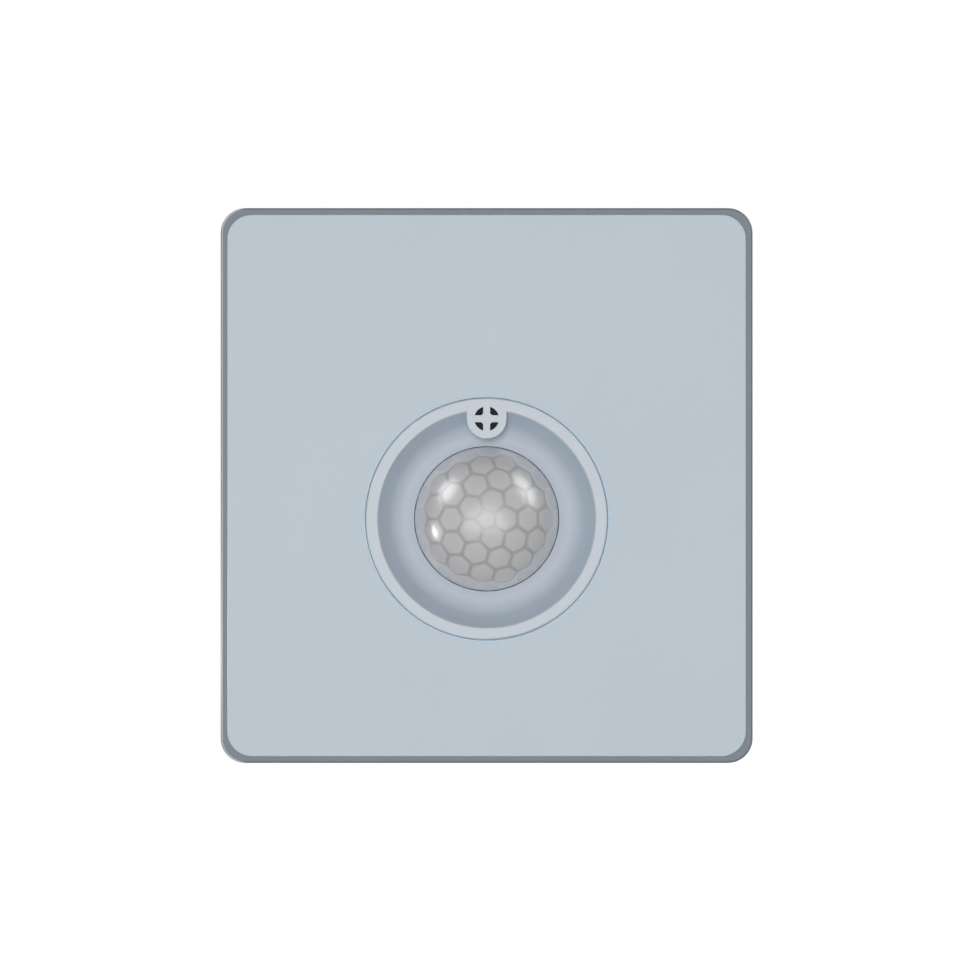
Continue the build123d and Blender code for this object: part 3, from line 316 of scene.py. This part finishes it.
# Painted shade: below the rim's front, the ramp of shades darkens the dish.
dish_shade_mask = add_node(tree, "ShaderNodeMapRange", {
    "Value": bezel_depth, "From Min": rim_low.y + rim_depth / 2, "From Max": rim_low.y + rim_depth})
up_slope = add_node(tree, "ShaderNodeMapRange", {
    "Value": reach_from_axis(tree, bezel_place), "From Min": dish_reach[0], "From Max": dish_reach[1]})
ramp = add_node(tree, "ShaderNodeValToRGB", {"Fac": up_slope.outputs["Result"]})
stops = ramp.color_ramp.elements
stops.new(slope_place)
for stop, shade in zip(stops, (foot_shade, slope_shade, top_shade)):
    stop.color = (*shade, 1)
ramp.color_ramp.interpolation = "B_SPLINE"
tinted(bezel_grey, dish_shade_mask.outputs["Result"], ramp.outputs["Color"])
dress(bezel_grey, "sensor_bezel")


# Lens dome: milky polyethylene, moulded as a honeycomb of small lenses. Its cells are the
# honeycomb that an icosahedron gives, with a pentagon at the front, and they fade out above the
# foot. Painted shade darkens the grooves between the cells, less at the front; painted light lines
# mark the grooves near the foot, and a painted reflection makes the foot lighter and bluer. A glossy
# skin covers the cells. The dome sits in the bezel from behind.
lens_low, lens_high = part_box("fresnel_lens")
dome_radius = 0.01292
dome_skirt = 0.01165
dome_skirt_height = 0.0016
dome_wall = 0.0006
pad_height = 0.00011
pad_reach_angle = 62
groove_shares = (0.96, 0.82)
groove_depths = (0.05, 0.9)
groove_shade_tint = (0.72, 0.73, 0.74)
front_groove_share = 0.3
# Painted light lines in the grooves near the foot.
foot_groove_light_tint = (1.14, 1.12, 1.08)
foot_angles = (44, 60)
foot_reflection_tint = (1.13, 1.18, 1.25)
cell_splits = 4
edge_cuts = 2
ring_shares = (0.7, 0.6)
rim_crease = 0.8


def shrink_faces(bm, faces, share, radius):
    """Puts a smaller copy of each face inside it, on the sphere of the given radius."""
    bmesh.ops.inset_individual(bm, faces=faces, thickness=0)
    for face in faces:
        middle = face.calc_center_median()
        for vert in face.verts:
            vert.co = middle.lerp(vert.co, share).normalized() * radius


bm = bmesh.new()
bmesh.ops.create_icosphere(bm, subdivisions=1, radius=1)
top = max(bm.verts, key=lambda vert: vert.co.z)
neighbour = top.link_edges[0].other_vert(top).co
turn = Matrix.Rotation(-math.atan2(neighbour.y, neighbour.x), 3, "Z")
bmesh.ops.rotate(bm, matrix=Matrix.Rotation(math.radians(90), 3, "X") @ turn, verts=bm.verts)
bmesh.ops.subdivide_edges(bm, edges=bm.edges, cuts=cell_splits - 1, use_grid_fill=True)
for vert in bm.verts:
    vert.co.normalize()
cell_middles = list(bm.verts)
spokes = list(bm.edges)
bmesh.ops.poke(bm, faces=bm.faces)
for vert in bm.verts:
    vert.co.normalize()
bmesh.ops.rotate_edges(bm, edges=spokes)
bmesh.ops.dissolve_verts(bm, verts=cell_middles)
behind = [face for face in bm.faces if face.calc_center_median().y > 0]
bmesh.ops.delete(bm, geom=behind, context="FACES")
bmesh.ops.bisect_edges(bm, edges=bm.edges, cuts=edge_cuts)
for vert in bm.verts:
    vert.co = vert.co.normalized() * (dome_radius - pad_height)

pad_limit = -math.cos(math.radians(pad_reach_angle))
pads = [face for face in bm.faces if face.calc_center_median().normalized().y < pad_limit]
plain = [face for face in bm.faces if face not in set(pads)]
shrink_faces(bm, pads, groove_shares[0], dome_radius - pad_height)
shrink_faces(bm, pads, groove_shares[1] / groove_shares[0], dome_radius)
for share in ring_shares:
    shrink_faces(bm, pads, share, dome_radius)
    shrink_faces(bm, plain, share, dome_radius - pad_height)
for faces, radius in ((pads, dome_radius), (plain, dome_radius - pad_height)):
    for vert in bmesh.ops.poke(bm, faces=faces)["verts"]:
        vert.co = vert.co.normalized() * radius

edge_plane = -math.sqrt((dome_radius - pad_height) ** 2 - dome_skirt ** 2)
bmesh.ops.bisect_plane(bm, geom=bm.verts[:] + bm.edges[:] + bm.faces[:], plane_co=(0, edge_plane, 0),
                       plane_no=(0, 1, 0), clear_outer=True)
crease = bm.edges.layers.float.new("crease_edge")
rim_edges = [edge for edge in bm.edges if edge.is_boundary]
for edge in rim_edges:
    edge[crease] = rim_crease
    for vert in edge.verts:
        across = Vector((vert.co.x, 0, vert.co.z)).normalized() * dome_skirt
        vert.co = across + Vector((0, edge_plane, 0))
skirt = bmesh.ops.extrude_edge_only(bm, edges=rim_edges)["geom"]
skirt_verts = [item for item in skirt if isinstance(item, bmesh.types.BMVert)]
bmesh.ops.translate(bm, vec=(0, dome_skirt_height, 0), verts=skirt_verts)
dome_middle = Vector((0, lens_low.y + dome_radius, (lens_low.z + lens_high.z) / 2))
bmesh.ops.translate(bm, vec=dome_middle, verts=bm.verts)
bmesh.ops.recalc_face_normals(bm, faces=bm.faces)
for face in bm.faces:
    face.smooth = True
dome_mesh = bpy.data.meshes.new("lens_dome")
bm.to_mesh(dome_mesh)
bm.free()
dome = bpy.data.objects.new("lens_dome", dome_mesh)
scene.collection.objects.link(dome)
solid = dome.modifiers.new("wall", "SOLIDIFY")
solid.thickness = dome_wall
solid.offset = -1
smooth = dome.modifiers.new("smooth", "SUBSURF")
smooth.levels = smooth.render_levels = 1

lens_milk = moulded(
    "lens_milk", (0.484, 0.479, 0.481), 0.5, grain_size=0.0004, relief=0.000001, drift=0.03,
    Subsurface_Weight=0.2, Subsurface_Scale=0.0004, Subsurface_Radius=(1, 1, 1),
    Specular_IOR_Level=0.12, Coat_Weight=1, Coat_Roughness=0.26, Coat_IOR=1.5)
tree = lens_milk.node_tree
lens_place = add_node(tree, "ShaderNodeTexCoord").outputs["Object"]
outward = add_node(tree, "ShaderNodeVectorMath", {0: lens_place, 1: dome_middle}, operation="SUBTRACT")
height = add_node(tree, "ShaderNodeVectorMath", {0: outward.outputs["Vector"]}, operation="LENGTH")
outward = add_node(tree, "ShaderNodeVectorMath", {0: outward.outputs["Vector"]}, operation="NORMALIZE")
tree.links.new(outward.outputs["Vector"], tree.nodes["Principled BSDF"].inputs["Coat Normal"])
forward = add_node(tree, "ShaderNodeSeparateXYZ", {"Vector": outward.outputs["Vector"]}).outputs["Y"]
at_foot = add_node(tree, "ShaderNodeMapRange", {
    "Value": forward, "From Min": -math.cos(math.radians(foot_angles[0])),
    "From Max": -math.cos(math.radians(foot_angles[1]))}, interpolation_type="SMOOTHSTEP")
front_grooves = add_node(tree, "ShaderNodeMapRange", {
    "Value": forward, "From Min": -1, "From Max": -math.cos(math.radians(foot_angles[0] / 2)),
    "To Min": front_groove_share})
in_groove = add_node(tree, "ShaderNodeMapRange", {
    "Value": height.outputs["Value"], "From Min": dome_radius - pad_height * groove_depths[0],
    "From Max": dome_radius - pad_height * groove_depths[1]}, interpolation_type="SMOOTHSTEP")
groove_strength = add_node(tree, "ShaderNodeMapRange", {
    "Value": at_foot.outputs["Result"], "To Min": front_grooves.outputs["Result"], "To Max": 0})
# Painted shade darkens the grooves, less at the front, and painted light lines lighten them near the foot.
for strength, tint in ((groove_strength, groove_shade_tint), (at_foot, foot_groove_light_tint)):
    tinting = add_node(tree, "ShaderNodeMath", {
        0: in_groove.outputs["Result"], 1: strength.outputs["Result"]}, operation="MULTIPLY")
    tinted(lens_milk, tinting.outputs["Value"], tint)
# Painted reflection: the foot of the dome is lighter and bluer.
tinted(lens_milk, at_foot.outputs["Result"], foot_reflection_tint)
dome_mesh.materials.append(lens_milk)
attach(dome, "module")
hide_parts("fresnel_lens")


# Sound opening: behind the four slots a fine black steel mesh keeps dust out, and a rubber boot
# presses it to the tab and holds the microphone, a small aluminium can on two leads.
wave_period = 0.314
weave_relief = 0.00004
woven, given, result = new_group(
    "woven_wire",
    [("Color", "Wire Colour"), ("Color", "Hole Colour"), ("Float", "Wire Spacing")],
    [("Color", "Colour"), ("Vector", "Normal")])
place = add_node(woven, "ShaderNodeTexCoord").outputs["Object"]
turns = add_node(woven, "ShaderNodeMath", {0: wave_period, 1: given["Wire Spacing"]}, operation="DIVIDE")
upright, level = [
    add_node(woven, "ShaderNodeTexWave", {"Vector": place, "Scale": turns.outputs[0]}, bands_direction=way)
    for way in "XZ"]
wires = add_node(woven, "ShaderNodeMath", {
    0: upright.outputs["Fac"], 1: level.outputs["Fac"]}, operation="MAXIMUM")
weave = add_node(woven, "ShaderNodeMix", {
    "Factor": wires.outputs[0], "A": given["Hole Colour"], "B": given["Wire Colour"]}, data_type="RGBA")
weave_bump = add_node(woven, "ShaderNodeBump", {"Height": wires.outputs[0], "Distance": weave_relief})
woven.links.new(weave.outputs["Result"], result["Colour"])
woven.links.new(weave_bump.outputs["Normal"], result["Normal"])

mesh_black, tree, surface = new_material("mesh_black")
finish = add_node(tree, "ShaderNodeGroup", {
    "Wire Colour": (0.03, 0.03, 0.032, 1), "Hole Colour": (0.006, 0.006, 0.006, 1),
    "Wire Spacing": 0.00016}, node_tree=woven)
wire_finish(tree, finish, surface)
surface.inputs["Roughness"].default_value = 0.7
surface.inputs["Specular IOR Level"].default_value = 0.2
dress(mesh_black, "acoustic_mesh")
boot_rubber = moulded("boot_rubber", (0.03, 0.03, 0.032), 0.75, grain_size=0.0004, relief=0.00002)
dress(boot_rubber, "microphone_boot")


# Worked metal: fine scratches that run one way, and a drift in the plating and in its gloss. The
# microphone's drawn aluminium can is the first to wear it.
working, given, result = new_group(
    "worked_metal",
    [("Color", "Colour"), ("Float", "Drift"), ("Vector", "Scratch Way"), ("Float", "Scratch Size"),
     ("Float", "Relief"), ("Float", "Roughness"), ("Float", "Roughness Swing")],
    [("Color", "Colour"), ("Float", "Roughness"), ("Vector", "Normal")])
place = add_node(working, "ShaderNodeTexCoord").outputs["Object"]
cloud = add_node(working, "ShaderNodeTexNoise", {"Vector": place, "Scale": 160.0, "Detail": 4.0})
along = add_node(working, "ShaderNodeVectorMath", {0: place, 1: given["Scratch Way"]}, operation="MULTIPLY")
scratch_scale = add_node(working, "ShaderNodeMath", {0: 1.0, 1: given["Scratch Size"]}, operation="DIVIDE")
scratch = add_node(working, "ShaderNodeTexNoise", {
    "Vector": along.outputs[0], "Scale": scratch_scale.outputs[0], "Detail": 3.0, "Roughness": 0.7})
tint = add_node(working, "ShaderNodeHueSaturation", {
    "Color": given["Colour"], "Value": centred(working, cloud.outputs["Fac"], given["Drift"], 1.0)})
bump = add_node(working, "ShaderNodeBump", {"Height": scratch.outputs["Fac"], "Distance": given["Relief"]})
working.links.new(tint.outputs["Color"], result["Colour"])
working.links.new(bump.outputs["Normal"], result["Normal"])
working.links.new(centred(working, scratch.outputs["Fac"], given["Roughness Swing"], given["Roughness"]),
                  result["Roughness"])


def metal(name, colour, roughness, way=(1, 1, 0.08), scratch_size=0.0002, relief=0.000003,
          drift=0.25, swing=0.25):
    """A plated, rolled or turned metal, scratched along the axis that has the small share."""
    material, tree, surface = new_material(name)
    finish = add_node(tree, "ShaderNodeGroup", {
        "Colour": (*colour, 1), "Drift": drift, "Scratch Way": way, "Scratch Size": scratch_size,
        "Relief": relief, "Roughness": roughness, "Roughness Swing": swing}, node_tree=working)
    wire_finish(tree, finish, surface)
    surface.inputs["Metallic"].default_value = 1
    return material


can_aluminium = metal("can_aluminium", (0.78, 0.78, 0.8), 0.34)
dress(can_aluminium, "microphone_capsule")


# Carrier plate: off-white polycarbonate, ribbed behind, that holds the bezel and the boards.
# Its holes give the screwdriver its way to the trimmers and to the wall box screws.
carrier_white = moulded("carrier_white", (0.7, 0.7, 0.68), 0.5, relief=0.00001)
dress(carrier_white, "carrier")


# Mounting bracket: pressed steel sheet, zinc plated, with rolling marks across it. Slotted
# screws hold it to the carrier.
zinc_sheet = metal("zinc_sheet", (0.6, 0.6, 0.59), 0.38, way=(0.06, 1, 1), relief=0.000006, drift=0.5)
dress(zinc_sheet, "mounting_bracket")


# Screws: turned steel, bright zinc plated, with slotted heads. Those of the bracket and the
# housing go in from the front through the carrier, and those of the bezel from behind.
screw_zinc = metal("screw_zinc", (0.66, 0.66, 0.65), 0.28, way=(1, 1, 1), scratch_size=0.00015)
dress(screw_zinc, "bezel_screws", "bracket_screws", "housing_screws", "sensor_board_screws",
      "power_board_screws")


# Rear housing: the grey box inside the wall, flame-retardant plastic with a coarser mould grain.
# Its four bosses take the screws that come through the carrier.
housing_grey = moulded("housing_grey", (0.5, 0.51, 0.52), 0.55, grain_size=0.0005, relief=0.00002)
dress(housing_grey, "rear_housing")


# Circuit boards: glass fibre under green solder mask, with tracks that stand out as lighter
# lines. Screws hold one to the carrier's posts and one to the housing's.
bare_share = 0.48
track_relief = 0.00003
mask_roughness = 0.34
mask_swing = 0.2
tracks, given, result = new_group(
    "board_tracks",
    [("Color", "Mask Colour"), ("Color", "Track Colour"), ("Float", "Track Spacing")],
    [("Color", "Colour"), ("Float", "Roughness"), ("Vector", "Normal")])
place = add_node(tracks, "ShaderNodeTexCoord").outputs["Object"]
flat = add_node(tracks, "ShaderNodeSeparateXYZ", {"Vector": place})
flat = add_node(tracks, "ShaderNodeCombineXYZ", {"X": flat.outputs["X"], "Y": flat.outputs["Z"]})
track_scale = add_node(tracks, "ShaderNodeMath", {0: 1.0, 1: given["Track Spacing"]}, operation="DIVIDE")
lanes = add_node(tracks, "ShaderNodeTexBrick", {
    "Vector": flat.outputs[0], "Scale": track_scale.outputs[0], "Mortar Size": 0.06, "Brick Width": 2.6,
    "Row Height": 0.7, "Bias": 0.0})
patches = add_node(tracks, "ShaderNodeTexNoise", {"Vector": place, "Scale": 220.0, "Detail": 0.0})
laid = add_node(tracks, "ShaderNodeMath", {
    0: patches.outputs["Fac"], 1: bare_share}, operation="GREATER_THAN")
line = add_node(tracks, "ShaderNodeMath", {
    0: lanes.outputs["Fac"], 1: laid.outputs[0]}, operation="MULTIPLY")
mask = add_node(tracks, "ShaderNodeMix", {
    "Factor": line.outputs[0], "A": given["Mask Colour"], "B": given["Track Colour"]}, data_type="RGBA")
track_bump = add_node(tracks, "ShaderNodeBump", {"Height": line.outputs[0], "Distance": track_relief})
tracks.links.new(mask.outputs["Result"], result["Colour"])
tracks.links.new(centred(tracks, patches.outputs["Fac"], mask_swing, mask_roughness), result["Roughness"])
tracks.links.new(track_bump.outputs["Normal"], result["Normal"])

board_green, tree, surface = new_material("board_green")
finish = add_node(tree, "ShaderNodeGroup", {
    "Mask Colour": (0.012, 0.13, 0.05, 1), "Track Colour": (0.04, 0.26, 0.1, 1), "Track Spacing": 0.0016},
    node_tree=tracks)
wire_finish(tree, finish, surface)
dress(board_green, "sensor_board", "power_board")


# Chips and small parts: black moulded epoxy, and tan ceramic resistors and capacitors, all
# soldered to the two boards.
chip_epoxy = moulded("chip_epoxy", (0.02, 0.02, 0.022), 0.45, grain_size=0.0001, relief=0.00001)
dress(chip_epoxy, "sensor_chip", "power_board_parts")
chip_ceramic = moulded("chip_ceramic", (0.42, 0.3, 0.18), 0.3, grain_size=0.0001, drift=0.3)
dress(chip_ceramic, "sensor_board_parts")


# Infrared detector: a drawn, nickel-plated steel can with a dark silicon window glued in, on
# gold-plated leads.
can_nickel = metal("can_nickel", (0.68, 0.66, 0.6), 0.22, way=(1, 0.1, 1))
dress(can_nickel, "pir_can")
lead_gold = metal("lead_gold", (0.8, 0.6, 0.25), 0.3)
dress(lead_gold, "pir_leads")
window_dark = moulded("window_dark", (0.02, 0.018, 0.03), 0.12, relief=0, drift=0.5, Coat_Weight=0.5)
dress(window_dark, "pir_window")


# Lamp and daylight cell: one cast in red tinted epoxy and one a ceramic disc under clear
# varnish, both soldered to the front of the sensor board.
lamp_red = moulded("lamp_red", (0.5, 0.03, 0.03), 0.12, relief=0, drift=0.1, Transmission_Weight=0.6)
dress(lamp_red, "status_led")
cell_ceramic = moulded("cell_ceramic", (0.7, 0.62, 0.48), 0.25, drift=0.15, Coat_Weight=1.0)
dress(cell_ceramic, "light_sensor")


# Trimmers: off-white nylon bodies on the sensor board, with black knobs that turn in them. Each
# knob has a screwdriver slot.
trimmer_nylon = moulded("trimmer_nylon", (0.72, 0.72, 0.68), 0.45)
dress(trimmer_nylon, "time_trimmer", "light_trimmer")
knob_black = moulded("knob_black", (0.028, 0.028, 0.03), 0.42, relief=0.00001)
dress(knob_black, "time_knob", "light_knob")


# Board link: square gold-plated pins through a black nylon spacer, soldered into both boards to
# join them.
dress(lead_gold, "link_pins")
spacer_black = moulded("spacer_black", (0.025, 0.025, 0.027), 0.5)
dress(spacer_black, "link_spacer")


# Relay: blue case over a blue base, a soft iron yoke, core and armature, a coil of enamelled
# copper wire on a nylon bobbin, and bronze blades that carry the contacts.
# Wound wire: painted shade darkens the copper in the gaps between the turns.
winding_relief = 0.00004
winding, given, result = new_group(
    "wound_wire",
    [("Color", "Wire Colour"), ("Color", "Gap Shade Colour"), ("Float", "Wire Thickness")],
    [("Color", "Colour"), ("Vector", "Normal")])
place = add_node(winding, "ShaderNodeTexCoord").outputs["Object"]
turns = add_node(winding, "ShaderNodeMath", {
    0: wave_period, 1: given["Wire Thickness"]}, operation="DIVIDE")
wire = add_node(winding, "ShaderNodeTexWave", {
    "Vector": place, "Scale": turns.outputs[0], "Distortion": 0.4}, bands_direction="Y")
layers = add_node(winding, "ShaderNodeMix", {
    "Factor": wire.outputs["Fac"], "A": given["Gap Shade Colour"], "B": given["Wire Colour"]}, data_type="RGBA")
wire_bump = add_node(winding, "ShaderNodeBump", {"Height": wire.outputs["Fac"], "Distance": winding_relief})
winding.links.new(layers.outputs["Result"], result["Colour"])
winding.links.new(wire_bump.outputs["Normal"], result["Normal"])

coil_copper, tree, surface = new_material("coil_copper")
finish = add_node(tree, "ShaderNodeGroup", {
    "Wire Colour": (0.62, 0.24, 0.09, 1), "Gap Shade Colour": (0.16, 0.05, 0.02, 1), "Wire Thickness": 0.00018},
    node_tree=winding)
wire_finish(tree, finish, surface)
surface.inputs["Metallic"].default_value = 0.8
surface.inputs["Roughness"].default_value = 0.3
dress(coil_copper, "relay_winding")
relay_blue = moulded("relay_blue", (0.04, 0.12, 0.3), 0.35)
dress(relay_blue, "relay_cover", "relay_base")
soft_iron = metal("soft_iron", (0.55, 0.54, 0.52), 0.35, drift=0.4)
dress(soft_iron, "relay_yoke", "relay_core", "relay_armature")
dress(screw_zinc, "relay_pins")
bobbin_nylon = moulded("bobbin_nylon", (0.75, 0.75, 0.7), 0.45)
dress(bobbin_nylon, "relay_bobbin")
blade_bronze = metal("blade_bronze", (0.72, 0.5, 0.26), 0.3, way=(1, 1, 0.1))
dress(blade_bronze, "relay_contact_spring", "relay_fixed_contact")


# Power parts: a yellow film capacitor, black-sleeved capacitors, a blue varistor disc, a ceramic
# fuse and a copper-wound coil.
film_yellow = moulded("film_yellow", (0.6, 0.4, 0.04), 0.38, grain_size=0.0004)
dress(film_yellow, "film_capacitor")
sleeve_black = moulded("sleeve_black", (0.03, 0.03, 0.035), 0.3, relief=0.000002)
dress(sleeve_black, "smoothing_capacitor", "filter_capacitor")
varistor_blue = moulded("varistor_blue", (0.03, 0.09, 0.28), 0.3, grain_size=0.0008, relief=0.00004)
dress(varistor_blue, "varistor")
fuse_ceramic = moulded("fuse_ceramic", (0.72, 0.69, 0.6), 0.3, drift=0.1)
dress(fuse_ceramic, "fuse")
dress(coil_copper, "supply_coil")


# Terminals: a grey-white block with brass bars and rising cages, and bright screws whose slotted
# heads are reached from behind.
block_grey = moulded("block_grey", (0.6, 0.6, 0.58), 0.5)
dress(block_grey, "terminal_block")
terminal_brass = metal("terminal_brass", (0.74, 0.55, 0.24), 0.32, way=(0.1, 1, 1), drift=0.4)
dress(terminal_brass, "contact_bars", "clamp_line", "clamp_neutral", "clamp_load")
dress(screw_zinc, "terminal_screw_line", "terminal_screw_neutral", "terminal_screw_load")
